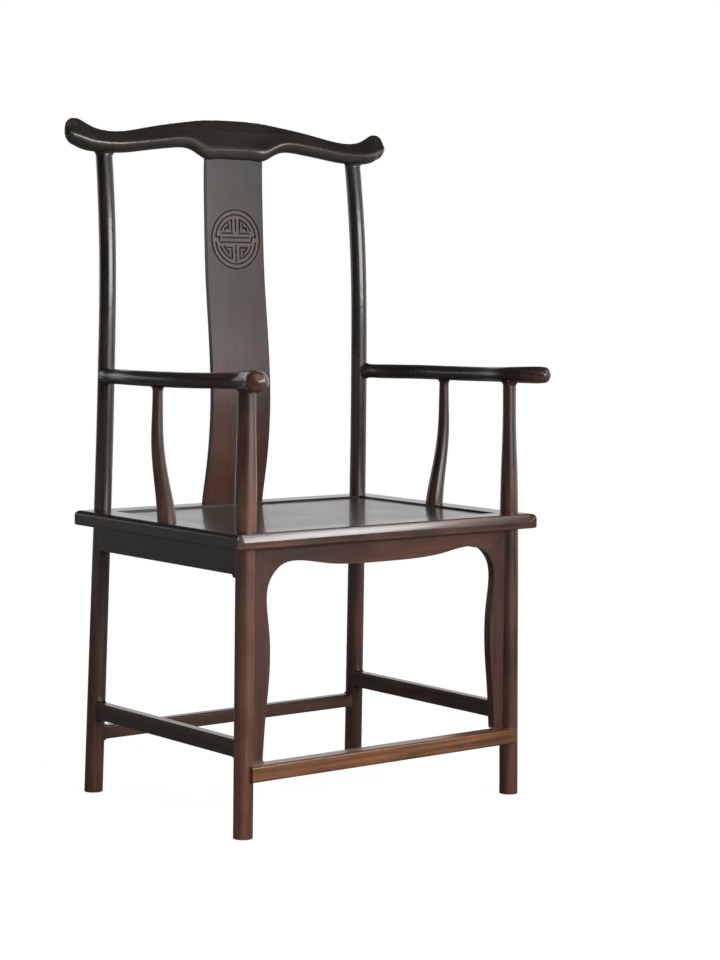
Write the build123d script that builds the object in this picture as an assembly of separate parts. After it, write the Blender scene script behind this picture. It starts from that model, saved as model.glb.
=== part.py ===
from build123d import *
from math import atan2, cos, degrees, radians, sin
import os

# Chair with four protruding rail ends, seated on a mitred frame. Millimetres, +Z up.
# X runs across the chair, -Y is its front, and the floor is Z = 0.

# Seat
seat_width = 640.0
seat_depth = 474.0
seat_top = 490.0
seat_centre_y = 17.5
rail_width = 50.0
rail_thickness = 25.0
bullnose_top = 8.0
bullnose_bottom = 3.5
panel_recess = 3.0
panel_thickness = 12.0
panel_gap = 0.5
tongue_thickness = 6.0
tongue_reach = 6.0
groove_depth = 8.0
mitre_tongue = 8.0
mitre_reach = 12.0
batten_width = 30.0
batten_drop = 12.0
batten_offset = 110.0
batten_tenon = 9.0
batten_shoulder = 5.0
tenon_lift = 2.5

# Front legs, each one piece with the post that carries the arm
front_foot_x = 287.0
front_foot_y = -195.0
front_top_x = 280.2
front_top_y = -187.0
front_top_z = 717.0
leg_diameter = 32.0
post_twist = 45.0

# Back legs, each one piece with the post that carries the crest rail
back_foot_x = 289.2
back_foot_y = 240.5
back_splay = 0.0163
back_rake = 0.0284
back_upright_z = 830.0
back_sweep_radius = 1890.0
back_top_z = 1109.0
back_top_diameter = 29.0

# Stretchers and footrest: the sides stand highest
footrest_depth = 30.0
footrest_top = 117.5
footrest_height = 26.5
footrest_front = -216.0
footrest_end_setback = 3.5
footrest_ease = 4.0
side_stretcher_top = 157.5
side_stretcher_height = 28.5
side_stretcher_width = 21.0
rear_stretcher_top = 114.5
rear_stretcher_height = 23.5
rear_stretcher_width = 20.0
stretcher_ease = 3.0
tenon_thickness = 9.0
tenon_reach = 11.0
tenon_shoulder = 5.0

# Aprons
apron_face_y = -196.0
apron_thickness = 15.0
front_opening_top = 426.0
front_opening_half = 236.5
side_apron_face_x = 296.0
side_apron_thickness = 13.0
side_apron_bottom = 422.5
side_apron_ear = 5.0
rear_apron_face_y = 236.0

# Back splat
splat_width_top = 121.0
splat_width_bottom = 127.0
splat_thickness = 10.0
splat_tenon = 6.0
splat_tenon_reach = 11.0
splat_tenon_root = 20.0
splat_shoulder = 8.0
roundel_z = 958.0
roundel_radius = 52.0
groove_width = 3.2
groove_cut = 2.0

# Arms and their spindles
arm_height = 26.0
spindle_y = 18.5
spindle_seat_x = 290.3
spindle_arm_x = 309.5
spindle_top_z = 712.0
round_tenon = 12.0
round_tenon_reach = 12.0
arm_tenon_width = 10.0
arm_tenon_height = 14.0
arm_tenon_reach = 14.0

# Crest rail
crest_tenon = 13.0
crest_hollow = 1.8
crest_full_rise = 24.0
crest_end_length = 20.6
crest_end_lift = 3.5
crest_end_shares = (0.0, 0.25, 0.47, 0.66, 0.81, 0.92, 0.985)
arm_end_round = 7.0

# How far a cutting shape overruns its work
overrun = 5.0

seat_front = seat_centre_y - seat_depth / 2
seat_back = seat_centre_y + seat_depth / 2
seat_half = seat_width / 2
rail_bottom = seat_top - rail_thickness
panel_top = seat_top - panel_recess
panel_bottom = panel_top - panel_thickness


def block(x, y, z):
    """Box between pairs of limits."""
    size = [b - a for a, b in (x, y, z)]
    centre = [(a + b) / 2 for a, b in (x, y, z)]
    return Pos(*centre) * Box(*size)


def other_side(part):
    return part.mirror(Plane.YZ)


def largest(part):
    """Main solid left by a cut."""
    return Part() + max(part.solids(), key=lambda solid: solid.volume)


def round_member(stations):
    """Turned or shaved member through oval level sections: x, y, z, width, depth, twist."""
    sections = [Pos(x, y, z) * Rot(0, 0, turn) * Ellipse(w / 2, d / 2) for x, y, z, w, d, turn in stations]
    return loft(sections)


def eased_bar(x, y, z, along, ease):
    """Rectangular bar with its four long edges rounded."""
    bar = block(x, y, z)
    return fillet(bar.edges().filter_by(along), ease)


# ---- legs and posts ----

def front_axis(z):
    """Centre of a right front leg at height z: one straight line from foot to arm."""
    t = z / front_top_z
    return front_foot_x + (front_top_x - front_foot_x) * t, front_foot_y + (front_top_y - front_foot_y) * t


def front_post_body():
    """Straight leg to the seat, then a slightly oval post that thins towards the arm."""
    ovals = [
        (480.0, leg_diameter, leg_diameter),
        (530.0, 35.8, 30.6),
        (580.0, 34.2, 27.8),
        (630.0, 31.6, 24.4),
        (680.0, 29.8, 23.0),
        (730.0, 29.0, 22.8),
    ]
    leg_ends = [(0.0, leg_diameter, leg_diameter), ovals[0]]
    leg, post = [
        round_member([(*front_axis(z), z, long, short, post_twist) for z, long, short in part])
        for part in (leg_ends, ovals)
    ]
    return leg + post


def back_axis(z):
    """Centre of a right back leg: raked to the seat, upright behind the arm, swept back above it."""
    x = back_foot_x - back_splay * z
    easing_span = back_upright_z - seat_top
    eased = min(max(z - seat_top, 0.0), easing_span)
    y = back_foot_y - back_rake * (min(z, back_upright_z) - eased ** 2 / (2 * easing_span))
    y += max(z - back_upright_z, 0.0) ** 2 / (2 * back_sweep_radius)
    return x, y


def back_post_body():
    """Back leg and post in one, thinning a little up to the start of its sweep."""
    count = 12
    stations = []
    for step in range(count + 1):
        z = back_top_z * step / count
        d = leg_diameter - (leg_diameter - back_top_diameter) * min(z / back_upright_z, 1.0)
        stations.append((*back_axis(z), z, d, d, 0.0))
    return round_member(stations)


# ---- crest rail ----

def crest_points(bottom, arris, top, arris_z, bottom_z, top_z):
    """Points round the crest rail: round underside, front arris, hollowed headrest face."""
    hollow = crest_hollow * min((top_z - arris_z) / crest_full_rise, 1.0)
    back = max(top + 1.0, bottom + 9.5)
    height = top_z - bottom_z
    face_depth = top - arris
    face_rise = top_z - arris_z
    roll = arris_z - bottom_z
    return [
        (bottom, bottom_z),
        (bottom + 8.6, bottom_z + 0.14 * height),
        (back, bottom_z + 0.48 * height),
        (top + 2.4, top_z - 4.0),
        (top - 2.0, top_z - 0.6),
        (arris + 0.5 * face_depth + hollow, arris_z + 0.5 * face_rise),
        (arris + 0.12 * face_depth + 0.4 * hollow, arris_z + 0.12 * face_rise),
        (arris, arris_z - 0.05 * roll),
        (arris - 0.2, arris_z - 0.24 * roll),
        (arris + 0.2 * (bottom - arris), bottom_z + 0.3 * roll),
    ]


def crest_section(x, points):
    outline = Spline([Vector(x, y, z) for y, z in points], periodic=True)
    return Face(Wire([outline]))


def crest_body():
    """Waved rail: high in the middle, dipping at the posts, with rounded upturned ends."""
    stations = [
        (0.0, 240.0, 227.0, 252.0, 1119.0, 1098.0, 1168.0),
        (38.0, 240.0, 227.0, 251.8, 1119.0, 1098.0, 1167.4),
        (64.0, 239.8, 225.6, 251.0, 1118.6, 1098.0, 1166.0),
        (80.0, 239.6, 224.6, 250.0, 1125.6, 1105.6, 1164.4),
        (98.0, 239.3, 223.2, 248.8, 1132.8, 1113.2, 1162.0),
        (120.0, 239.1, 222.2, 247.3, 1134.6, 1115.0, 1159.0),
        (148.0, 239.0, 221.4, 245.6, 1132.0, 1112.4, 1154.8),
        (192.0, 238.8, 220.6, 243.0, 1126.4, 1106.8, 1147.0),
        (235.0, 238.6, 220.0, 240.5, 1121.4, 1101.2, 1139.8),
        (265.0, 239.6, 220.6, 241.5, 1120.0, 1100.0, 1139.0),
        (290.0, 242.2, 222.4, 244.6, 1121.0, 1100.8, 1143.4),
        (311.0, 245.4, 225.6, 247.6, 1124.6, 1103.8, 1153.2),
        (327.0, 247.6, 229.6, 249.4, 1130.0, 1110.0, 1157.4),
    ]
    outlines = [(x, crest_points(*sizes)) for x, *sizes in stations]
    right = [crest_section(x, points) for x, points in outlines]
    left = [crest_section(-x, points) for x, points in reversed(outlines[1:])]
    # Each free end is the last outline, shrinking towards its lifted centre.
    end_x, bulb = outlines[-1]
    centre_y, centre_z = [sum(values) / len(bulb) for values in zip(*bulb)]
    rounds = []
    for share in crest_end_shares:
        size = (1.0 - share ** 2) ** 0.5
        lift = crest_end_lift * share
        points = [(centre_y + size * (y - centre_y), centre_z + lift + size * (z - centre_z)) for y, z in bulb]
        rounds.append(crest_section(end_x + share * crest_end_length, points))
    end = loft(rounds, ruled=True)
    return loft(left + right) + end + other_side(end)


# ---- arms ----

def arm_stations():
    """Right arm from the back post to its free end: x, y, z, width, height."""
    return [
        (278.0, 222.0, 721.0, 29.0, arm_height),
        (286.5, 180.0, 721.7, 30.0, arm_height),
        (302.0, 110.0, 723.2, 32.0, arm_height),
        (309.5, 18.5, 724.6, 34.0, arm_height),
        (305.5, -70.0, 726.2, 36.0, arm_height),
        (292.0, -140.0, 728.4, 39.0, arm_height),
        (283.0, -190.0, 730.0, 42.0, 27.0),
        (288.6, -212.0, 730.6, 41.4, 27.8),
        (295.5, -229.5, 731.0, 40.0, 28.6),
        (301.8, -240.5, 731.2, 37.5, 28.4),
        (306.8, -248.4, 731.4, 33.5, 26.6),
        (310.4, -254.0, 731.5, 28.5, 23.4),
    ]


def arm_body():
    """Flat oval arm, bowed outwards and then swept out past the front post."""
    points = [Vector(*s[:3]) for s in arm_stations()]
    path = Spline(points)
    sections = []
    for station, point in zip(arm_stations(), points):
        tangent = path.tangent_at(path.param_at_point(point))
        plane = Plane(origin=point, x_dir=Vector(0, 0, 1).cross(tangent), z_dir=tangent)
        sections.append(plane * Ellipse(station[3] / 2, station[4] / 2))
    arm = loft(sections)
    return fillet(arm.faces().sort_by(Axis.Y)[0].edges(), arm_end_round)


def arm_tenon():
    """Square tenon at the back end of the arm, inside the post."""
    x, y, z = arm_stations()[0][:3]
    shoulder = y - leg_diameter / 4
    return block(
        (x - arm_tenon_width / 2, x + arm_tenon_width / 2),
        (shoulder - arm_tenon_reach, shoulder + tenon_shoulder),
        (z - arm_tenon_height / 2, z + arm_tenon_height / 2),
    )


def spindle_body():
    """Side spindle: thick at the seat, curved outwards and thinning up to the arm."""
    stations = [
        (spindle_seat_x, spindle_y, seat_top - 4.0, 32.0),
        (spindle_seat_x + 1.2, spindle_y, 500.0, 31.0),
        (294.6, spindle_y, 521.0, 28.8),
        (301.8, spindle_y, 560.0, 25.0),
        (308.0, spindle_y, 600.0, 22.2),
        (310.4, spindle_y, 640.0, 19.8),
        (310.0, spindle_y, 680.0, 17.8),
        (spindle_arm_x, spindle_y, spindle_top_z + 14.0, 16.6),
    ]
    return round_member([(x, y, z, d, d, 0.0) for x, y, z, d in stations])


# ---- seat ----

def rail_profile():
    """Rail section with the outer face at x = 0 and its top at y = 0: bullnose and panel groove."""
    outline = Pos(-rail_width / 2, -rail_thickness / 2) * Rectangle(rail_width, rail_thickness)
    outer = outline.vertices().group_by(Axis.X)[-1].sort_by(Axis.Y)
    outline = fillet(outer[-1], bullnose_top)
    lower = outline.vertices().group_by(Axis.Y)[0].sort_by(Axis.X)[-1]
    outline = fillet(lower, bullnose_bottom)
    groove_top = -panel_recess - panel_thickness + tongue_thickness
    groove = Pos(-rail_width + groove_depth / 2, groove_top - tongue_thickness / 2)
    return outline - groove * Rectangle(groove_depth, tongue_thickness)


def long_rail(side, reach, levels):
    """Prism over the plan of a front (-1) or rear (+1) rail, its mitres pushed out by reach."""
    edge = seat_front if side < 0 else seat_back
    inner = edge - side * rail_width
    far = edge + side * overrun
    grow = reach + overrun
    plan = Polygon(
        (-seat_half - grow, far),
        (seat_half + grow, far),
        (seat_half - rail_width + reach, inner),
        (-seat_half + rail_width - reach, inner),
        align=None,
    )
    return Pos(0, 0, levels[0]) * extrude(plan, levels[1] - levels[0], dir=(0, 0, 1))


def seat_rails(posts, sockets):
    """Four rails mitred at the corners, with a hidden tongue in each mitre and holes for the legs."""
    profile = rail_profile()
    front_end = Plane((-seat_half, seat_front, seat_top), x_dir=(0, -1, 0), z_dir=(-1, 0, 0))
    right_end = Plane((seat_half, seat_front, seat_top), x_dir=(1, 0, 0), z_dir=(0, -1, 0))
    front = extrude(front_end * profile, -seat_width)
    rear = front.mirror(Plane((0, seat_centre_y, 0), z_dir=(0, 1, 0)))
    right = extrude(right_end * profile, -seat_depth)
    middle = (rail_bottom + bullnose_bottom, rail_bottom + bullnose_bottom + mitre_tongue)
    whole = (rail_bottom - overrun, seat_top + overrun)
    front_plan = long_rail(-1, 0.0, whole) + long_rail(-1, mitre_reach, middle)
    rear_plan = long_rail(1, 0.0, whole) + long_rail(1, mitre_reach, middle)
    rails = {
        "seat_rail_front": front & front_plan,
        "seat_rail_rear": rear & rear_plan,
        "seat_rail_right": right - front_plan - rear_plan,
    }
    rails["seat_rail_left"] = other_side(rails["seat_rail_right"])
    return {name: rail - posts - sockets for name, rail in rails.items()}


def seat_panel(legs):
    """Floating panel, set below the rails, with a tongue all round in their grooves."""
    half_x = seat_half - rail_width - panel_gap
    half_y = seat_depth / 2 - rail_width - panel_gap
    y = (seat_centre_y - half_y, seat_centre_y + half_y)
    field = block((-half_x, half_x), y, (panel_bottom, panel_top))
    grow = tongue_reach + panel_gap
    tongue_y = (y[0] - grow, y[1] + grow)
    tongue_z = (panel_bottom, panel_bottom + tongue_thickness)
    tongue = block((-half_x - grow, half_x + grow), tongue_y, tongue_z)
    return field + tongue - legs


def seat_batten(x):
    """Bearer under the panel, tenoned into the front and rear rails."""
    inner = (seat_front + rail_width, seat_back - rail_width)
    top = panel_bottom
    bar = block((x - batten_width / 2, x + batten_width / 2), inner, (top - batten_drop, top))
    half = batten_width / 2 - batten_shoulder
    ends = (inner[0] - batten_tenon, inner[1] + batten_tenon)
    return bar, block((x - half, x + half), ends, (rail_bottom + tenon_lift, top - tenon_lift))


# ---- back splat ----

def splat_curve(offset):
    """S-shaped line of the splat seen from the side, moved back by offset."""
    points = [
        (235.6, 490.0),
        (230.0, 520.0),
        (221.8, 562.0),
        (215.4, 612.0),
        (212.6, 672.0),
        (215.2, 735.0),
        (221.4, 800.0),
        (229.6, 870.0),
        (235.4, 945.0),
        (238.8, 1015.0),
        (240.4, 1060.0),
        (240.0, 1104.0),
    ]
    return [(y + offset, z) for y, z in points]


def splat_slab(front, back, half_bottom, half_top):
    """Curved board between two offsets of the splat line, tapering in width."""
    fore = Spline([Vector(0, y, z) for y, z in splat_curve(front)])
    rear = Spline([Vector(0, y, z) for y, z in splat_curve(back)])
    edges = [fore, rear, Line(fore @ 0, rear @ 0), Line(fore @ 1, rear @ 1)]
    side = Face(Wire(edges))
    reach = half_bottom + overrun
    slab = Pos(-reach, 0, 0) * extrude(side, 2 * reach, dir=(1, 0, 0))
    low = seat_top
    high = splat_curve(0)[-1][1]
    plan = Polygon((-half_bottom, low), (half_bottom, low), (half_top, high), (-half_top, high), align=None)
    return slab & extrude(Plane.XZ * plan, 600.0, both=True)


def stroke(start, end):
    """Straight groove between two points of the roundel."""
    dx = end[0] - start[0]
    dy = end[1] - start[1]
    length = (dx * dx + dy * dy) ** 0.5
    place = Pos((start[0] + end[0]) / 2, (start[1] + end[1]) / 2) * Rot(0, 0, degrees(atan2(dy, dx)))
    return place * SlotCenterToCenter(length, groove_width)


def ring(radius):
    return Circle(radius + groove_width / 2) - Circle(radius - groove_width / 2)


def arc_groove(radius, start, end):
    """Ring groove kept between two angles."""
    reach = 2 * radius
    corners = [(0.0, 0.0)]
    for step in range(5):
        angle = radians(start + (end - start) * step / 4)
        corners.append((reach * cos(angle), reach * sin(angle)))
    return ring(radius) & Polygon(*corners, align=None)


def roundel():
    """Longevity roundel: two rings around a fret, alike left and right."""
    outer = roundel_radius
    inner = outer - 8.5
    fret = outer - 16.5
    half = [
        arc_groove(inner, 6.0, 90.0),
        arc_groove(inner, -90.0, -6.0),
        stroke((inner, 4.4), (35.0, 3.4)),
        stroke((35.0, 3.4), (35.0, -1.4)),
        arc_groove(fret, 24.0, 76.0),
        stroke((8.6, 34.4), (8.6, 15.0)),
        stroke((6.6, 10.6), (30.0, 10.6)),
        stroke((15.6, 27.0), (15.6, 19.6)),
        stroke((15.6, 19.6), (23.4, 19.6)),
        arc_groove(28.5, 30.0, 52.0),
        stroke((0.0, 3.0), (28.0, 3.0)),
        stroke((0.0, -5.2), (33.0, -5.2)),
        arc_groove(fret, -76.0, -18.0),
        stroke((8.6, -34.4), (8.6, -14.4)),
        stroke((8.6, -14.4), (20.4, -14.4)),
        stroke((15.6, -19.8), (15.6, -27.0)),
        arc_groove(28.5, -56.0, -24.0),
        stroke((0.0, 34.6), (0.0, 29.0)),
        stroke((0.0, 25.4), (0.0, 13.6)),
        stroke((0.0, -11.0), (0.0, -26.0)),
        stroke((0.0, -30.0), (0.0, -38.0)),
    ]
    sketch = ring(outer)
    for groove in half:
        sketch = sketch + groove + groove.mirror(Plane.YZ)
    return sketch


def back_splat(crest):
    """Curved splat scribed under the crest rail, with a carved roundel and a tongue at each end."""
    half_bottom = splat_width_bottom / 2
    half_top = splat_width_top / 2
    board = splat_slab(-splat_thickness / 2, splat_thickness / 2, half_bottom, half_top)
    skin = board - Pos(0, groove_cut, 0) * board
    cutter = extrude(Pos(0, 0, roundel_z) * (Plane.XZ * roundel()), 400.0, both=True)
    board = board - (skin & cutter)
    tenons = []
    line = splat_curve(0)
    foot_z = (seat_top - splat_tenon_reach, seat_top)
    head_z = (line[-1][1] - splat_tenon_root, line[-1][1] + splat_tenon_reach)
    for half_board, y, z in ((half_bottom, line[0][0], foot_z), (half_top, line[-1][0], head_z)):
        half = half_board - splat_shoulder
        tenons.append(block((-half, half), (y - splat_tenon / 2, y + splat_tenon / 2), z))
    return (board - crest) + tenons, tenons[0] + tenons[1]


# ---- aprons ----

def front_opening():
    """Outline of the opening between the stiles: waisted sides, shoulders and a shallow arched head."""
    half = front_opening_half
    crown = front_opening_top
    side = [
        (half + 13.5, footrest_top),
        (half + 11.5, 146.0),
        (half + 7.5, 195.0),
        (half + 2.5, 240.0),
        (half, 285.0),
        (half + 1.5, 325.0),
        (half + 6.0, 360.0),
        (half + 7.5, 384.0),
        (half + 3.0, 408.0),
        (half - 9.0, crown - 1.0),
        (half - 24.0, crown + 9.5),
        (half - 46.0, crown + 13.6),
        (half - 76.0, crown + 11.4),
        (half - 112.0, crown + 5.4),
        (half - 160.0, crown + 1.2),
        (0.0, crown),
    ]
    points = side + [(-x, z) for x, z in reversed(side[:-1])]
    edge = Spline([Vector(x, z, 0) for x, z in points])
    sill = Line(edge @ 1, edge @ 0)
    return Face(Wire([edge, sill]))


def front_aprons(legs):
    """Apron board and two stiles, mitred together at the shoulders of the opening."""
    half = front_top_x + leg_diameter / 4
    frame = extrude(Plane.XZ * Pos(0, (rail_bottom + footrest_top) / 2) *
                    Rectangle(2 * half, rail_bottom - footrest_top), -apron_thickness)
    opening = extrude(Plane.XZ * front_opening(), -apron_thickness)
    board = Pos(0, apron_face_y, 0) * (frame - opening)
    board = board - legs
    shoulder_x = front_opening_half - 9.0
    shoulder_z = front_opening_top - 1.0
    run = rail_bottom - shoulder_z
    top_plan = Polygon(
        (-shoulder_x, shoulder_z),
        (-shoulder_x - 2 * run, shoulder_z + 2 * run),
        (shoulder_x + 2 * run, shoulder_z + 2 * run),
        (shoulder_x, shoulder_z),
        (shoulder_x - 2 * run, shoulder_z - run / 4),
        (-shoulder_x + 2 * run, shoulder_z - run / 4),
        align=None,
    )
    top_region = extrude(Plane.XZ * top_plan, 600.0, both=True)
    top = board & top_region
    stiles = board - top_region
    right = stiles & block((0.0, seat_half), (seat_front, seat_back), (0.0, seat_top))
    return {"front_apron_top": top, "front_apron_right": right, "front_apron_left": other_side(right)}


def side_apron(legs):
    """Straight board under a side rail, with a small rounded ear against each leg."""
    x = (side_apron_face_x - side_apron_thickness, side_apron_face_x)
    front_y = front_axis(side_apron_bottom)[1]
    back_y = back_axis(side_apron_bottom)[1]
    board = block(x, (front_y, back_y), (side_apron_bottom - side_apron_ear, rail_bottom))
    clear = (front_y + leg_diameter / 2, back_y - leg_diameter / 2)
    gap = block((x[0] - overrun, x[1] + overrun), clear, (0.0, side_apron_bottom))
    gap = fillet(gap.edges().filter_by(Axis.X).group_by(Axis.Z)[-1], 0.8 * side_apron_ear)
    return largest(board - gap - legs)


def rear_apron(legs):
    """Plain board under the rear rail."""
    y = (rear_apron_face_y - side_apron_thickness, rear_apron_face_y)
    return largest(block((-back_foot_x, back_foot_x), y, (side_apron_bottom, rail_bottom)) - legs)


# ---- stretchers ----

def footrest(legs):
    """Stout footrest, notched around the front legs and standing proud of them."""
    y = (footrest_front, footrest_front + footrest_depth)
    z = (footrest_top - footrest_height, footrest_top)
    half = front_foot_x - footrest_end_setback
    return largest(eased_bar((-half, half), y, z, Axis.X, footrest_ease) - legs)


def side_stretcher():
    """Full bar between leg centres, and the tenon inside it."""
    centre_x = (front_axis(side_stretcher_top)[0] + back_axis(side_stretcher_top)[0]) / 2
    ends = (front_axis(side_stretcher_top)[1], back_axis(side_stretcher_top)[1])
    half = side_stretcher_width / 2
    z = (side_stretcher_top - side_stretcher_height, side_stretcher_top)
    bar = eased_bar((centre_x - half, centre_x + half), ends, z, Axis.Y, stretcher_ease)
    shoulder = leg_diameter / 2
    half_tenon = tenon_thickness / 2
    reach = (ends[0] + shoulder - tenon_reach, ends[1] - shoulder + tenon_reach)
    tenon_z = (z[0] + tenon_shoulder, z[1] - tenon_shoulder)
    tenon = block((centre_x - half_tenon, centre_x + half_tenon), reach, tenon_z)
    return bar, tenon


def rear_stretcher():
    """Lower bar between the back legs, and the tenon inside it."""
    centre_x, centre_y = back_axis(rear_stretcher_top)
    half = rear_stretcher_width / 2
    z = (rear_stretcher_top - rear_stretcher_height, rear_stretcher_top)
    bar = eased_bar((-centre_x, centre_x), (centre_y - half, centre_y + half), z, Axis.X, stretcher_ease)
    reach = centre_x - leg_diameter / 2 + tenon_reach
    half_tenon = tenon_thickness / 2
    tenon_z = (z[0] + tenon_shoulder, z[1] - tenon_shoulder)
    tenon = block((-reach, reach), (centre_y - half_tenon, centre_y + half_tenon), tenon_z)
    return bar, tenon


def peg(x, y, z, diameter):
    """Upright round tenon through a shoulder at height z."""
    return Pos(x, y, z) * Cylinder(diameter / 2, 2 * round_tenon_reach)


def build_chair():
    chair = {}
    crest = crest_body()
    arm = arm_body()
    back = back_post_body()
    front = front_post_body()
    spindle = spindle_body()

    # Joints that hold the back: tenons on the posts and the splat enter the crest rail.
    crest_pin = peg(*back_axis(back_top_z), back_top_z, crest_tenon)
    splat, splat_tenons = back_splat(crest)
    chair["back_splat"] = splat
    back = back - crest + crest_pin
    chair["crest_rail"] = crest - crest_pin - other_side(crest_pin) - splat_tenons

    # Arms: scribed to the back post, with a tenon into it, and held up by the post and spindle.
    arm_pin = arm_tenon()
    post_pin = peg(*front_axis(front_top_z), front_top_z, round_tenon)
    spindle_pins = [
        peg(spindle_arm_x, spindle_y, spindle_top_z, round_tenon),
        peg(spindle_seat_x, spindle_y, seat_top, round_tenon),
    ]
    front = front - arm + post_pin
    spindle = spindle - block((0.0, seat_half), (seat_front, seat_back), (0.0, seat_top))
    spindle = spindle - arm + spindle_pins
    arm = largest(arm - back) + arm_pin
    back = back - arm_pin
    chair["armrest_right"] = arm - front - spindle

    # Seat frame around the legs.
    front_pair = front + other_side(front)
    back_pair = back + other_side(back)
    legs = front_pair + back_pair
    sockets = spindle_pins[1] + other_side(spindle_pins[1]) + splat_tenons
    for side, x in (("left", -batten_offset), ("right", batten_offset)):
        bar, tenon = seat_batten(x)
        chair[f"seat_batten_{side}"] = bar + tenon
        sockets = sockets + tenon
    chair.update(seat_rails(legs, sockets))
    chair["seat_panel"] = seat_panel(legs)

    # Under the seat.
    side_bar, side_tenon = side_stretcher()
    rear_bar, rear_tenon = rear_stretcher()
    aprons = front_aprons(legs)
    chair.update(aprons)
    chair["side_apron_right"] = side_apron(legs)
    chair["rear_apron"] = rear_apron(legs)
    chair["footrest"] = footrest(legs)
    chair["side_stretcher_right"] = side_bar - legs - aprons["front_apron_right"] + side_tenon
    chair["rear_stretcher"] = rear_bar - legs + rear_tenon
    chair["front_post_right"] = front - side_tenon
    chair["back_post_right"] = back - side_tenon - rear_tenon
    chair["side_spindle_right"] = spindle
    for name in [name for name in chair if name.endswith("_right")]:
        left = name.replace("_right", "_left")
        if left not in chair:
            chair[left] = other_side(chair[name])
    return chair


os.makedirs("parts", exist_ok=True)
for name, shape in build_chair().items():
    export_step(shape, f"parts/{name}.step")
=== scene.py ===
import bpy
import bmesh
import math
from mathutils import Matrix, Vector
from mathutils.bvhtree import BVHTree
from mathutils.geometry import convex_hull_2d


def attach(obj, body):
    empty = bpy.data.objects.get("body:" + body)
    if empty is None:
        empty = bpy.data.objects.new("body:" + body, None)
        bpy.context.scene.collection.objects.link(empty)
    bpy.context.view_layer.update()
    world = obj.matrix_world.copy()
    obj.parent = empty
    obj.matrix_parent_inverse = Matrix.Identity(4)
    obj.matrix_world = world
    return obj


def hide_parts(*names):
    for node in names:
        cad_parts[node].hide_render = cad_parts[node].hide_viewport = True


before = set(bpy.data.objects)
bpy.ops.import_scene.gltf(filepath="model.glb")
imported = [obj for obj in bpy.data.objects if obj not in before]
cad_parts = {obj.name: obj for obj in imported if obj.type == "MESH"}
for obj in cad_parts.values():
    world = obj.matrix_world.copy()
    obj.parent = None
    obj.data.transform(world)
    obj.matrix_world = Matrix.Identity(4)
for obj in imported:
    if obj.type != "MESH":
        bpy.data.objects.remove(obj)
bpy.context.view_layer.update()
print("frame loaded:", len(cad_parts), "nodes")


cameraSetup = {
    "place": (-2.5308, -3.2469, 0.9019),
    "heading": -39.05,      # degrees about Z, 0 looks along +Y
    "drop": 4.92,           # degrees below level
    "roll": 0.69,
    "lens": 90.33,
    "sensor": 36.0,
}


def addCamera(setup):
    # an unturned camera looks straight down, so a quarter turn makes it level
    turn = (
        Matrix.Rotation(math.radians(setup["heading"]), 4, "Z")
        @ Matrix.Rotation(math.radians(90.0 - setup["drop"]), 4, "X")
        @ Matrix.Rotation(math.radians(setup["roll"]), 4, "Z")
    )
    data = bpy.data.cameras.new("chairCamera")
    data.lens = setup["lens"]
    data.sensor_width = setup["sensor"]
    data.sensor_fit = "AUTO"
    camera = bpy.data.objects.new("chairCamera", data)
    camera.matrix_world = Matrix.Translation(setup["place"]) @ turn
    bpy.context.scene.collection.objects.link(camera)
    bpy.context.scene.camera = camera


addCamera(cameraSetup)
print("camera placed")


class Wire:
    # one output socket, so that shader maths reads as ordinary sums
    def __init__(self, sheet, socket):
        self.sheet = sheet
        self.socket = socket

    def __add__(self, other):
        return self.sheet.sum("ADD", self, other)

    def __radd__(self, other):
        return self.sheet.sum("ADD", other, self)

    def __sub__(self, other):
        return self.sheet.sum("SUBTRACT", self, other)

    def __rsub__(self, other):
        return self.sheet.sum("SUBTRACT", other, self)

    def __mul__(self, other):
        return self.sheet.sum("MULTIPLY", self, other)

    def __rmul__(self, other):
        return self.sheet.sum("MULTIPLY", other, self)

    def __pow__(self, other):
        return self.sheet.sum("POWER", self, other)


class Sheet:
    # the node tree of a material or of the world
    def __init__(self, owner):
        owner.use_nodes = True
        self.tree = owner.node_tree
        self.tree.nodes.clear()

    def feed(self, socket, value):
        if isinstance(value, Wire):
            self.tree.links.new(value.socket, socket)
        else:
            socket.default_value = value

    def node(self, kind, settings=None, sockets=None, out=None):
        # settings first, then sockets by name, or by number where names repeat
        made = self.tree.nodes.new("ShaderNode" + kind)
        for key, value in (settings or {}).items():
            if key == "stops":
                ramp = made.color_ramp.elements
                while len(ramp) < len(value):
                    ramp.new(0.5)
                for stop, (place, shade) in zip(ramp, value):
                    stop.position = place
                    stop.color = shade
            else:
                setattr(made, key, value)
        for key, value in (sockets or {}).items():
            if isinstance(key, int):
                self.feed(made.inputs[key], value)
            else:
                self.feed(next(s for s in made.inputs if s.name == key and s.enabled), value)
        outputs = [s for s in made.outputs if s.enabled and (out is None or s.name == out)]
        return Wire(self, outputs[0]) if outputs else None

    def sum(self, operation, first, second):
        return self.node("Math", {"operation": operation}, {0: first, 1: second})

    def clamp(self, value, low=0.0, high=1.0):
        return self.node("Clamp", None, {"Value": value, "Min": low, "Max": high})

    def spread(self, value, low, high, start=0.0, end=1.0):
        # a soft step from start to end as the value goes from low to high
        sockets = {"Value": value, "From Min": low, "From Max": high, "To Min": start, "To Max": end}
        return self.node("MapRange", {"interpolation_type": "SMOOTHSTEP"}, sockets)

    def blend(self, share, first, second):
        return self.node("Mix", {"data_type": "RGBA"}, {"Factor": share, "A": first, "B": second})

    def axes(self, place):
        made = self.tree.nodes.new("ShaderNodeSeparateXYZ")
        self.tree.links.new(place.socket, made.inputs[0])
        return [Wire(self, socket) for socket in made.outputs]

    def noise(self, place, scale, detail, rough, warp=0.0):
        sockets = {"Vector": place, "Scale": scale, "Detail": detail, "Roughness": rough, "Distortion": warp}
        return self.node("TexNoise", None, sockets, "Fac")


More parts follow.
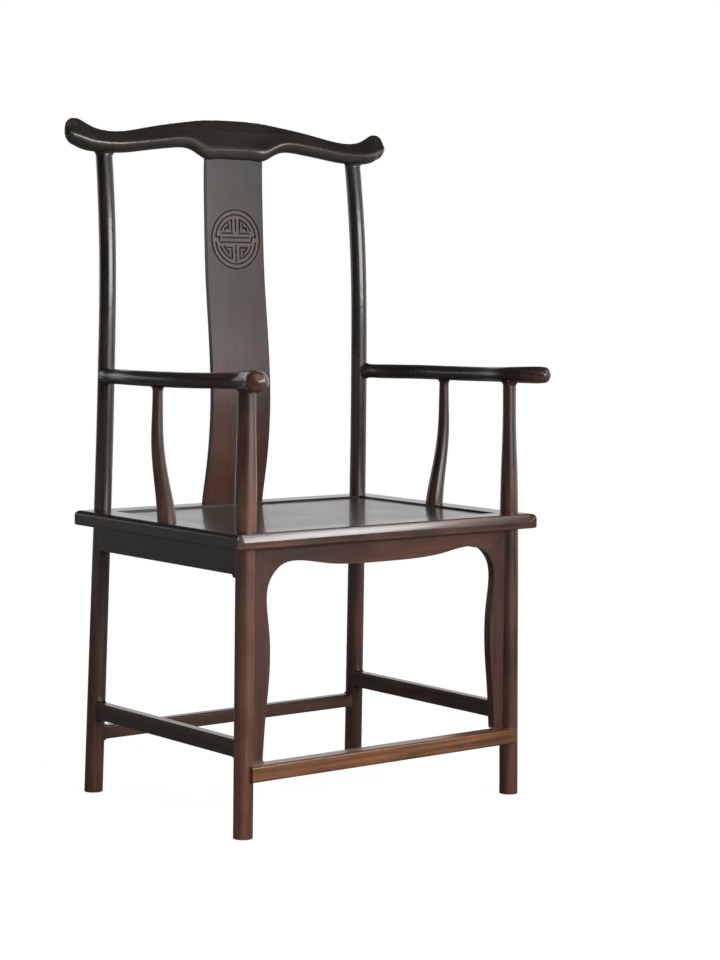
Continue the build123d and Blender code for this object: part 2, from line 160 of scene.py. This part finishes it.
def rgb(red, green, blue):
    # a colour as read off a screen, made linear by the usual screen curve
    def line(v):
        v = v / 255.0
        return v / 12.92 if v <= 0.04045 else ((v + 0.055) / 1.055) ** 2.4
    return (line(red), line(green), line(blue), 1.0)


frameFinish = {
    "darkTone": [(0.30, rgb(28, 25, 22)), (0.52, rgb(42, 37, 33)), (0.78, rgb(60, 52, 46))],
    "brownTone": [(0.28, rgb(54, 32, 24)), (0.52, rgb(88, 54, 41)), (0.78, rgb(122, 78, 58))],
    "warmth": 0.5,          # 0 is charcoal all over, 1 red-brown all over
    "fall": 0.9,            # how much redder it grows for each metre nearer the floor
    "middle": 0.72,         # the height where it is just as warm as said
    "ahead": 0.0,           # how much redder for each metre towards the front
    "drift": 1.2,           # how much the two colours wander along a member
    "driftScale": 4.2,
    "grain": 1.0,
    "relief": 0.1,
    "rough": 0.33,
    "coat": 0.5,
    "coatRough": 0.13,
    "carved": False,        # whether painted shade mixed with dirt darkens the roundel's cuts, with wear on the carving between them
}

woodGrain = {
    "along": 6.0,           # how fast the grain changes along a member
    "across": 190.0,
    # fields of noise: scale, detail, roughness and, where the grain twists, distortion
    "streak": (1.0, 4.0, 0.6, 0.3),
    "band": (0.16, 3.0, 0.5, 0.8),
    "cloud": (11.0, 2.0, 0.5),
    "pore": (3.4, 2.0, 0.5),
    "patch": (2.0, 0.5),    # detail and roughness, its scale is the finish's driftScale
    "poreEdge": (0.62, 0.72),
    "poreShade": rgb(24, 18, 15),
    "poreShare": 0.35,
    # how far each field moves the figure, the roughness and the relief
    "figureBy": {"streak": 0.7, "band": 0.9, "cloud": 0.5},
    "roughBy": {"streak": 0.1, "cloud": 0.14, "pore": 0.06},
    "reliefBy": {"streak": 0.4, "band": 0.6, "pore": 0.5},
    "reliefDepth": 0.0005,
    "roughLimits": (0.08, 0.9),
    "flowShift": (1.0, 0.7, 1.3),       # how a piece's own shift moves its grain and its patches
    "patchShift": (3.1, 1.0, 2.3),
}

# the front face of the splat about its roundel, as a curve of the height over the middle
roundel = {
    "middle": 0.958, "face": 0.23112, "slope": 0.05527, "curl": -0.1564,
    "radius": 0.0545,
    "rim": 0.001,                   # half the width of the fade at the roundel's edge
    "groove": (0.0002, 0.0012),     # the depth where a groove starts, and where it is fully dark
    "behind": (0.003, 0.004),       # the depth past which a point is on the splat's back
    # the cuts get painted shade mixed with dirt, darker the deeper they go, and grow duller
    "shadeAndDirt": rgb(18, 13, 11), "shadeAndDirtShare": 0.95, "dull": 0.4,
    "worn": rgb(128, 106, 90), "wornShare": 0.28,
}


def carving(sheet, place):
    # how deep in a groove a point is, and how far it belongs to the roundel
    across, inward, up = sheet.axes(place)
    over = up - roundel["middle"]
    depth = inward - (over * over * roundel["curl"] + over * roundel["slope"] + roundel["face"])
    reach = (across * across + over * over) ** 0.5
    low, high = roundel["radius"] - roundel["rim"], roundel["radius"] + roundel["rim"]
    inside = sheet.spread(reach, low, high, 1.0, 0.0)
    inside = inside * sheet.spread(depth, *roundel["behind"], 1.0, 0.0)
    return sheet.spread(depth, *roundel["groove"]) * inside, inside


def grainFields(sheet, place, along, driftScale, shift):
    # the noises that the wood's colour, roughness and relief are mixed from
    flow = sheet.node("Mapping", None, {
        "Vector": place,
        "Location": [shift * step for step in woodGrain["flowShift"]],
        "Scale": [woodGrain["along" if axis == along else "across"] for axis in "XYZ"],
    })
    moved = sheet.node("Mapping", None, {
        "Vector": place,
        "Location": [shift * step for step in woodGrain["patchShift"]],
    })
    return {
        "streak": sheet.noise(flow, *woodGrain["streak"]),
        "band": sheet.noise(flow, *woodGrain["band"]),
        "cloud": sheet.noise(moved, *woodGrain["cloud"]),
        "patch": sheet.noise(moved, driftScale, *woodGrain["patch"]),
        "pore": sheet.spread(sheet.noise(flow, *woodGrain["pore"]), *woodGrain["poreEdge"]),
    }


def woodColour(sheet, place, tone, field):
    # a charcoal and a red-brown wood with one figure, and how far each shows
    inward, height = sheet.axes(place)[1:]
    by = woodGrain["figureBy"]
    figure = (field["streak"] - 0.5) * by["streak"] + (field["band"] - 0.5) * by["band"]
    figure = figure + (field["cloud"] - 0.5) * by["cloud"]
    figure = 0.5 + figure * tone["grain"]
    dark = sheet.node("ValToRGB", {"stops": tone["darkTone"]}, {"Fac": figure}, "Color")
    brown = sheet.node("ValToRGB", {"stops": tone["brownTone"]}, {"Fac": figure}, "Color")
    warmth = (tone["middle"] - height) * tone["fall"] - inward * tone["ahead"] + tone["warmth"]
    warmth = sheet.clamp(warmth + (field["patch"] - 0.5) * 2.0 * tone["drift"])
    colour = sheet.blend(warmth, dark, brown)
    pores = field["pore"] * woodGrain["poreShare"] * tone["grain"]
    return sheet.blend(pores, colour, woodGrain["poreShade"])


def woodBump(sheet, tone, field):
    by = woodGrain["reliefBy"]
    relief = field["streak"] * by["streak"] + field["band"] * by["band"] - field["pore"] * by["pore"]
    sockets = {"Height": relief, "Strength": tone["relief"], "Distance": woodGrain["reliefDepth"]}
    return sheet.node("Bump", None, sockets)


def woodMaterial(name, along, finish, shift):
    tone = {**frameFinish, **finish}
    material = bpy.data.materials.new(name)
    sheet = Sheet(material)
    place = sheet.node("TexCoord", out="Object")
    field = grainFields(sheet, place, along, tone["driftScale"], shift)
    colour = woodColour(sheet, place, tone, field)
    by = woodGrain["roughBy"]
    rough = tone["rough"] + (field["streak"] - 0.5) * by["streak"]
    rough = rough + (field["cloud"] - 0.5) * by["cloud"] + field["pore"] * by["pore"]
    if tone["carved"]:
        groove, inside = carving(sheet, place)
        colour = sheet.blend((inside - groove) * roundel["wornShare"], colour, roundel["worn"])
        # painted shade, partly dirt, darkens the grooves by their depth
        colour = sheet.blend(groove * roundel["shadeAndDirtShare"], colour, roundel["shadeAndDirt"])
        rough = rough + groove * roundel["dull"]
    surface = sheet.node("BsdfPrincipled", None, {
        "Base Color": colour,
        "Roughness": sheet.clamp(rough, *woodGrain["roughLimits"]),
        "Normal": woodBump(sheet, tone, field),
        "Coat Weight": tone["coat"],
        "Coat Roughness": tone["coatRough"],
    })
    sheet.node("OutputMaterial", None, {"Surface": surface})
    return material


def dress(piece, material):
    piece.data.materials.clear()
    piece.data.materials.append(material)


meshCare = {
    "weld": 2e-6,           # corners this near are one
    "cut": 1e-6,
    "flatAngle": 0.4,       # degrees, faces nearer to one plane than this are joined
    "sharpAngle": 38.0,     # degrees, steeper edges stay sharp in the shading
    "settle": 0.5,          # how far one smoothing pass goes
}


def mergedShape(name):
    bm = bmesh.new()
    bm.from_mesh(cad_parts[name].data)
    bmesh.ops.remove_doubles(bm, verts=bm.verts, dist=meshCare["weld"])
    return bm


easing = {
    "angle": 50.0,          # degrees, only sharper edges are eased
    "shortest": 0.0004,     # shorter ones are left out
    "segments": 4,
}
mitre = {"level": 0.1, "slant": 0.707, "within": 0.03}      # the normal of the front apron's mitres
carvedArea = {"x": 0.056, "low": 0.902, "high": 1.014, "ease": 0.0004, "segments": 2}


def isMitre(face):
    slant = abs(abs(face.normal.x) - mitre["slant"])
    return abs(face.normal.y) < mitre["level"] and slant < mitre["within"]


def isCarved(edge):
    point = edge.verts[0].co
    return abs(point.x) < carvedArea["x"] and carvedArea["low"] < point.z < carvedArea["high"]


def easeEdges(bm, name, width):
    # the roundel's cuts are hardly eased, all other outward edges by the width
    sharp = [
        e for e in bm.edges
        if e.is_manifold and e.is_convex and e.calc_face_angle(0.0) > math.radians(easing["angle"])
        and not (name.startswith("front_apron") and any(isMitre(f) for f in e.link_faces))
    ]
    carved = [e for e in sharp if name == "back_splat" and isCarved(e)]
    plain = [e for e in sharp if e not in carved]
    rounds = (
        (carved, carvedArea["ease"], carvedArea["segments"]),
        (plain, width, easing["segments"]),
    )
    for edges, offset, segments in rounds:
        edges = [e for e in edges if e.is_valid and e.calc_length() > easing["shortest"]]
        bmesh.ops.bevel(
            bm, geom=edges, offset=offset, offset_type="OFFSET", affect="EDGES",
            segments=segments, profile=0.5, material=-1, clamp_overlap=True,
        )


# where a member meets its neighbour: rings of cuts along an axis, then a cove that swells out
coveSetup = {
    "reach": 0.0065,        # how far from the neighbour it starts
    "swell": 0.0036,        # how far it stands out where they meet
    "ringGap": 0.0012,
}


def cutRings(bm, axis, low, high):
    normal = Vector([float(axis == k) for k in range(3)])
    for step in range(round((high - low) / coveSetup["ringGap"]) + 1):
        place = normal * (low + step * coveSetup["ringGap"])
        everything = bm.verts[:] + bm.edges[:] + bm.faces[:]
        bmesh.ops.bisect_plane(bm, geom=everything, dist=meshCare["cut"], plane_co=place, plane_no=normal)


def swellTowards(bm, shares, neighbour):
    # a hollow curve out to the neighbour's surface
    other = mergedShape(neighbour)
    tree = BVHTree.FromBMesh(other)
    other.free()
    bm.normal_update()
    moves = []
    for v in bm.verts:
        near, normal, _, gap = tree.find_nearest(v.co, coveSetup["reach"])
        if near is not None:
            if (v.co - near).dot(normal) < 0.0:
                gap = 0.0
            swell = coveSetup["swell"] * (1.0 - gap / coveSetup["reach"]) ** 2
            moves.append((v, Vector(n * share for n, share in zip(v.normal, shares)) * swell))
    for v, move in moves:
        v.co += move


# the free ends of the arms, which swell and end in a dome
armEnd = {
    "start": -0.150,        # where along y the swelling starts
    "full": -0.215,         # and where it is full
    "left": 0.0034,         # how full the left and the right one grow
    "right": 0.0004,
    "side": 0.4,            # the share of that which goes sideways
    "facing": -0.6,         # the end's own face points forward by more than this
    "dome": [(0.80, 0.0013), (0.66, 0.0010), (0.45, 0.0006)],      # share of the width left, rise
}


def smoothShare(share):
    share = min(max(share, 0.0), 1.0)
    return share * share * (3.0 - 2.0 * share)


def fillArmEnd(bm, swell):
    bm.normal_update()
    for v in bm.verts:
        share = smoothShare((armEnd["start"] - v.co.y) / (armEnd["start"] - armEnd["full"])) * swell
        v.co += Vector((v.normal.x * armEnd["side"], 0.0, v.normal.z)) * share
    cap = max((f for f in bm.faces if f.normal.y < armEnd["facing"]), key=lambda f: f.calc_area())
    for narrow, rise in armEnd["dome"]:
        cap = bmesh.ops.extrude_discrete_faces(bm, faces=[cap])["faces"][0]
        corners = cap.verts[:]
        centred = Matrix.Translation(-cap.calc_center_median())
        bmesh.ops.scale(bm, verts=corners, vec=(narrow, narrow, narrow), space=centred)
        bmesh.ops.translate(bm, verts=corners, vec=cap.normal * rise)


# the front rail's upper edge: its round, and the slope that it settles towards
railRound = {
    "y": -0.2115, "z": 0.482, "radius": 0.008,
    "within": 0.0006,       # how near to the round a point has to be
    "below": 1e-5,
    "share": 0.8,           # how far it settles
    "full": 0.306,          # out to here from the middle it settles so far
    "none": 0.3175,         # and from here on not at all
}
railSlope = [
    # share of the round's quarter turn, y, z
    (0.0, -0.2115, 0.490), (0.12, -0.2124, 0.4895), (0.93, -0.2195, 0.4756), (1.0, -0.2195, 0.4745),
]


def slopeAt(turn):
    # the slope's y and z at that share of the round's quarter turn
    for (t0, y0, z0), (t1, y1, z1) in zip(railSlope, railSlope[1:]):
        if turn <= t1:
            part = (turn - t0) / (t1 - t0)
            return y0 + part * (y1 - y0), z0 + part * (z1 - z0)


def slopeRail(bm):
    for v in bm.verts:
        out, up = railRound["y"] - v.co.y, v.co.z - railRound["z"]
        onRound = abs(math.hypot(out, up) - railRound["radius"]) < railRound["within"]
        if out > 0.0 and up > -railRound["below"] and onRound:
            y, z = slopeAt(math.atan2(out, max(up, 0.0)) / math.radians(90))
            share = (railRound["none"] - abs(v.co.x)) / (railRound["none"] - railRound["full"])
            share = railRound["share"] * min(max(share, 0.0), 1.0)
            v.co.y += share * (y - v.co.y)
            v.co.z += share * (z - v.co.z)


crestFace = {
    "reach": 0.324,         # how far out from the middle it is looked at
    "step": 0.004,          # in cuts this far apart
    "facing": -0.2,         # only what points forward by more than this moves
}


def frontOf(hull, height):
    # the foremost point of an outline in y and z at that height, or far behind where it has none
    found = []
    for a, b in zip(hull, hull[1:] + hull[:1]):
        if min(a.y, b.y) <= height <= max(a.y, b.y) and a.y != b.y:
            found.append(a.x + (b.x - a.x) * (height - a.y) / (b.y - a.y))
    return min(found, default=1.0)


def sectionHull(bm, x):
    # the outline, in y and z and with its hollows filled, of a cut across the shape
    cut = bm.copy()
    everything = cut.verts[:] + cut.edges[:] + cut.faces[:]
    made = bmesh.ops.bisect_plane(
        cut, geom=everything, dist=meshCare["cut"], plane_co=(x, 0.0, 0.0), plane_no=(1.0, 0.0, 0.0)
    )["geom_cut"]
    points = [v.co.yz for v in made if isinstance(v, bmesh.types.BMVert)]
    cut.free()
    return [points[i] for i in convex_hull_2d(points)]


def flattenFace(bm):
    # the crest's front face made straight from its arris to its top
    reach, step = crestFace["reach"], crestFace["step"]
    hulls = [sectionHull(bm, k * step - reach) for k in range(round(2.0 * reach / step) + 1)]
    bm.normal_update()
    for v in bm.verts:
        place = (v.co.x + reach) / step
        first = math.floor(place)
        if v.normal.y < crestFace["facing"] and 0 <= first < len(hulls) - 1:
            near, far = frontOf(hulls[first], v.co.z), frontOf(hulls[first + 1], v.co.z)
            v.co.y = min(v.co.y, near + (far - near) * (place - first))


def melt(piece, cell, passes):
    # even cells all over, then settled, so that edges and ends come out rounded
    even = piece.modifiers.new("even", "REMESH")
    even.mode = "VOXEL"
    even.voxel_size = cell
    even.use_smooth_shade = True
    settle = piece.modifiers.new("settle", "SMOOTH")
    settle.factor = meshCare["settle"]
    settle.iterations = passes


# the pieces that are softened, a pair in one row. ease: the rounding of sharp edges. rings: cuts
# across the piece as (axis, from, to). swell and meets: how much of a cove goes along x, y and z,
# and the neighbours it reaches out to. melt: cell size and smoothing passes
apronEase = 0.0012
sideways = (1.0, 1.0, 0.0)
upAndDown = (0.0, 0.0, 1.0)
reshaped = {
    "back_splat": {"ease": 0.0047},
    "front_apron_top": {"ease": apronEase},
    "front_apron_{side}": {
        "ease": apronEase, "rings": [(2, 0.118, 0.126)], "swell": (1.0, 0.0, 0.0), "meets": ["footrest"]},
    "side_apron_{side}": {"ease": apronEase},
    "rear_apron": {"ease": apronEase},
    "seat_panel": {"ease": 0.0012},
    "side_stretcher_{side}": {
        "rings": [(1, -0.184, -0.170), (1, 0.206, 0.226)], "swell": upAndDown,
        "meets": ["front_post_{side}", "back_post_{side}"]},
    "rear_stretcher": {
        "rings": [(0, -0.278, -0.262), (0, 0.262, 0.278)], "swell": upAndDown,
        "meets": ["back_post_left", "back_post_right"]},
    "back_post_{side}": {"rings": [(2, 1.086, 1.110)], "swell": sideways, "meets": ["crest_rail"]},
    "front_post_{side}": {"rings": [(2, 0.700, 0.720)], "swell": sideways, "meets": ["armrest_{side}"]},
    "side_spindle_{side}": {"rings": [(2, 0.698, 0.716)], "swell": sideways, "meets": ["armrest_{side}"]},
    "seat_rail_front": {"rings": [(0, -0.318, -0.306), (0, 0.306, 0.318)]},
    "crest_rail": {"melt": (0.0015, 24)},
    "armrest_{side}": {
        "rings": [(1, 0.192, 0.216)], "swell": (1.0, 0.0, 1.0), "meets": ["back_post_{side}"],
        "melt": (0.0014, 26)},
}


def reshapedCopy(name, side, plan):
    bm = mergedShape(name)
    flat = math.radians(meshCare["flatAngle"])
    bmesh.ops.dissolve_limit(bm, angle_limit=flat, verts=bm.verts, edges=bm.edges, delimit={"NORMAL"})
    if "ease" in plan:
        easeEdges(bm, name, plan["ease"])
    for ring in plan.get("rings", []):
        cutRings(bm, *ring)
    for neighbour in plan.get("meets", []):
        swellTowards(bm, plan["swell"], neighbour.format(side=side))
    if name.startswith("armrest"):
        fillArmEnd(bm, armEnd[side])
    if name == "seat_rail_front":
        slopeRail(bm)
    if name == "crest_rail":
        flattenFace(bm)
    mesh = bpy.data.meshes.new(name + "_soft")
    bm.to_mesh(mesh)
    bm.free()
    if "custom_normal" in mesh.attributes:
        mesh.attributes.remove(mesh.attributes["custom_normal"])
    mesh.shade_smooth()
    mesh.set_sharp_from_angle(angle=math.radians(meshCare["sharpAngle"]))
    piece = bpy.data.objects.new(name + "_soft", mesh)
    bpy.context.scene.collection.objects.link(piece)
    if "ease" in plan:
        even = piece.modifiers.new("even", "WEIGHTED_NORMAL")
        even.keep_sharp = True
    if "melt" in plan:
        melt(piece, *plan["melt"])
    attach(piece, "root")
    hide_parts(name)
    return piece


shown = dict(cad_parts)
for row, plan in reshaped.items():
    sides = ("left", "right") if "{side}" in row else ("",)
    for side in sides:
        name = row.format(side=side)
        shown[name] = reshapedCopy(name, side, plan)
        print("reshaped:", name, len(shown[name].data.polygons), "faces")


apronTone = [(0.28, rgb(50, 28, 21)), (0.52, rgb(80, 47, 36)), (0.78, rgb(108, 66, 49))]
panelTone = [(0.30, rgb(36, 35, 30)), (0.52, rgb(52, 49, 43)), (0.78, rgb(70, 64, 56))]
footrestTone = [(0.28, rgb(74, 44, 26)), (0.52, rgb(124, 78, 46)), (0.78, rgb(156, 104, 62))]
apronFinish = {"warmth": 0.6, "drift": 0.5, "grain": 0.55, "brownTone": apronTone, "shift": 4.4}
armFinish = {"drift": 0.3, "relief": 0.02, "rough": 0.4, "coat": 0.5}
woodOf = {
    # node: the axis its grain runs along, and what differs from the frame's finish
    "crest_rail": ("X", {
        "warmth": 0.22, "drift": 0.5, "grain": 0.7, "relief": 0.02, "rough": 0.36,
        "coat": 0.8, "coatRough": 0.2}),
    "back_splat": ("Z", {
        "warmth": 0.42, "fall": 1.6, "grain": 0.3, "drift": 0.5, "coat": 0.38, "carved": True}),
    "back_post_left": ("Z", {"warmth": 0.08, "fall": 1.1, "drift": 0.6}),
    "back_post_right": ("Z", {"warmth": 0.15, "fall": 1.3, "drift": 0.6}),
    "front_post_left": ("Z", {"warmth": 0.6}),
    "front_post_right": ("Z", {"warmth": 0.55}),
    "side_spindle_left": ("Z", {"warmth": 0.6}),
    "side_spindle_right": ("Z", {"warmth": 0.3}),
    "armrest_left": ("Y", {**armFinish, "warmth": -0.25, "ahead": 4.6, "grain": 0.5}),
    "armrest_right": ("Y", {**armFinish, "warmth": -0.3, "ahead": 3.2, "fall": 30.0, "middle": 0.728}),
    "seat_rail_front": ("X", {"warmth": 0.45}),
    "seat_rail_rear": ("X", {"warmth": -0.1}),
    "seat_rail_left": ("Y", {"warmth": -0.2, "drift": 0.5}),
    "seat_rail_right": ("Y", {"warmth": -0.1}),
    "seat_panel": ("X", {
        "warmth": -0.2, "grain": 0.8, "darkTone": panelTone, "rough": 0.33,
        "coat": 0.34, "coatRough": 0.06}),
    "seat_batten_left": ("Y", {}),
    "seat_batten_right": ("Y", {}),
    "front_apron_top": ("X", apronFinish),
    "front_apron_left": ("Z", apronFinish),
    "front_apron_right": ("Z", apronFinish),
    "side_apron_left": ("Y", {"warmth": -0.2, "drift": 0.4}),
    "side_apron_right": ("Y", {"warmth": 0.3}),
    "rear_apron": ("X", {"warmth": 0.3}),
    "footrest": ("X", {"warmth": 0.5, "drift": 0.6, "brownTone": footrestTone}),
    "side_stretcher_left": ("Y", {"warmth": -0.2, "drift": 0.7}),
    "side_stretcher_right": ("Y", {"warmth": -0.1, "drift": 0.7}),
    "rear_stretcher": ("X", {"warmth": 0.1}),
}
shiftStep = 0.37            # how far each piece's grain lies from the last one's
for index, (name, (along, finish)) in enumerate(woodOf.items()):
    dress(shown[name], woodMaterial(name + "Wood", along, finish, finish.get("shift", shiftStep * index)))
print("wood dressed")


white = (1.0, 1.0, 1.0, 1.0)
floorSetup = {
    "size": 80.0,
    "shade": (0.35, 0.35, 0.35, 1.0),
    "glow": 1.29,
    "lift": 0.75,           # how much of the floor's white is its own
}
flagShade = (0.012, 0.011, 0.010, 1.0)
flagSetup = [
    # cards that keep most of the lacquer from mirroring the white room: name, start, end, height, glow
    ("leftFlag", (-2.2, 2.4), (-2.2, -1.6), 2.6, 0.0),
    ("farFlag", (-2.2, 4.6), (-2.2, 2.4), 0.72, 0.0),
    ("leftCard", (-2.15, 4.6), (-2.15, -1.6), 0.6, 0.3),
    ("rearFlag", (-2.2, 4.6), (-0.6, 7.0), 0.72, 0.0),
    ("cameraFlag", (-2.4, -1.6), (-1.1, -4.1), 2.6, 0.0),
    ("frontFlag", (-1.2, -4.1), (3.5, -2.9), 2.6, 0.0),
]
clothSetup = {"shade": (0.28, 0.28, 0.28, 1.0), "size": 9.0, "place": (-0.6, 0.0, 0.0008)}
lampSetup = [
    # name, place, aim, width, height, watts
    ("keyLamp", (0.50, -3.36, 1.28), (0.0, 0.0, 0.9), 3.2, 0.8, 100.0),
    ("cameraFill", (-0.9, -2.1, 2.45), (0.0, 0.0, 0.7), 1.4, 1.4, 9.0),
]
spotSetup = {
    "place": (1.89, -1.72, 2.26), "aim": (-0.32, -0.2, 0.5), "watts": 120.0,
    "cone": 18.0,           # degrees
    "blend": 0.7,
    "radius": 0.4,
}
skySetup = {
    "spill": 0.4,           # what the room adds to diffuse light
    "ceiling": 0.05,        # what a reflection finds overhead
    "bandTop": 0.2,         # sine of the height where the white horizon starts to fade
    "bandEnd": 0.36,
}


def addToScene(name, bm, material):
    mesh = bpy.data.meshes.new(name)
    bm.to_mesh(mesh)
    bm.free()
    thing = bpy.data.objects.new(name, mesh)
    bpy.context.scene.collection.objects.link(thing)
    dress(thing, material)
    return thing


def seenRays(sheet):
    # camera, glossy and transmission rays, which find the white backdrop
    kinds = ("Camera", "Glossy", "Transmission")
    camera, glossy, through = [sheet.node("LightPath", out="Is " + kind + " Ray") for kind in kinds]
    return sheet.clamp(camera + glossy + through)


def addFloor(setup):
    material = bpy.data.materials.new("floorWhite")
    sheet = Sheet(material)
    lit = sheet.node("BsdfDiffuse", None, {"Color": setup["shade"]})
    glow = sheet.node("Emission", None, {"Color": white, "Strength": setup["glow"]})
    surface = sheet.node("MixShader", None, {0: seenRays(sheet) * setup["lift"], 1: lit, 2: glow})
    sheet.node("OutputMaterial", None, {"Surface": surface})
    bm = bmesh.new()
    bmesh.ops.create_grid(bm, x_segments=1, y_segments=1, size=setup["size"] / 2)
    addToScene("floor", bm, material)


def addFlag(name, start, end, height, glow):
    # a card standing on the floor, which the camera doesn't see
    material = bpy.data.materials.new(name + "Card")
    sheet = Sheet(material)
    sockets = {
        "Base Color": flagShade, "Roughness": 1.0, "Specular IOR Level": 0.0,
        "Emission Color": white, "Emission Strength": glow,
    }
    surface = sheet.node("BsdfPrincipled", None, sockets)
    sheet.node("OutputMaterial", None, {"Surface": surface})
    bm = bmesh.new()
    edge = bm.edges.new([bm.verts.new((*start, 0.0)), bm.verts.new((*end, 0.0))])
    raised = bmesh.ops.extrude_edge_only(bm, edges=[edge])["geom"]
    upper = [v for v in raised if isinstance(v, bmesh.types.BMVert)]
    bmesh.ops.translate(bm, verts=upper, vec=(0.0, 0.0, height))
    flag = addToScene(name, bm, material)
    flag.visible_camera = False


def addCloth(setup):
    # dull ground cloth that only reflections find
    material = bpy.data.materials.new("clothGrey")
    sheet = Sheet(material)
    lit = sheet.node("BsdfDiffuse", None, {"Color": setup["shade"]})
    sheet.node("OutputMaterial", None, {"Surface": lit})
    bm = bmesh.new()
    place = Matrix.Translation(setup["place"])
    bmesh.ops.create_grid(bm, x_segments=1, y_segments=1, size=setup["size"] / 2, matrix=place)
    cloth = addToScene("groundCloth", bm, material)
    cloth.visible_camera = False
    cloth.visible_diffuse = False
    cloth.visible_shadow = False


def placeLight(name, data, place, aim):
    light = bpy.data.objects.new(name, data)
    light.location = place
    light.rotation_euler = (Vector(aim) - Vector(place)).to_track_quat("-Z", "Y").to_euler()
    bpy.context.scene.collection.objects.link(light)


def addLamp(name, place, aim, width, height, watts):
    data = bpy.data.lights.new(name, "AREA")
    data.shape = "RECTANGLE"
    data.size = width
    data.size_y = height
    data.energy = watts
    placeLight(name, data, place, aim)


def addSpot(setup):
    data = bpy.data.lights.new("rimSpot", "SPOT")
    data.energy = setup["watts"]
    data.spot_size = math.radians(setup["cone"])
    data.spot_blend = setup["blend"]
    data.shadow_soft_size = setup["radius"]
    placeLight("rimSpot", data, setup["place"], setup["aim"])


def addWorld(setup):
    world = bpy.data.worlds.new("studio")
    bpy.context.scene.world = world
    sheet = Sheet(world)
    ray = sheet.node("TexCoord", out="Generated")
    height = sheet.node("SeparateXYZ", None, {"Vector": ray}, "Z")
    fade = sheet.spread(height, setup["bandTop"], setup["bandEnd"], 1.0, setup["ceiling"])
    strength = seenRays(sheet) * (fade - setup["spill"]) + setup["spill"]
    light = sheet.node("Background", None, {"Color": white, "Strength": strength})
    sheet.node("OutputWorld", None, {"Surface": light})


addFloor(floorSetup)
for flag in flagSetup:
    addFlag(*flag)
addCloth(clothSetup)
for lamp in lampSetup:
    addLamp(*lamp)
addSpot(spotSetup)
addWorld(skySetup)
bpy.context.scene.view_settings.view_transform = "Standard"
print("stage and lamps set")
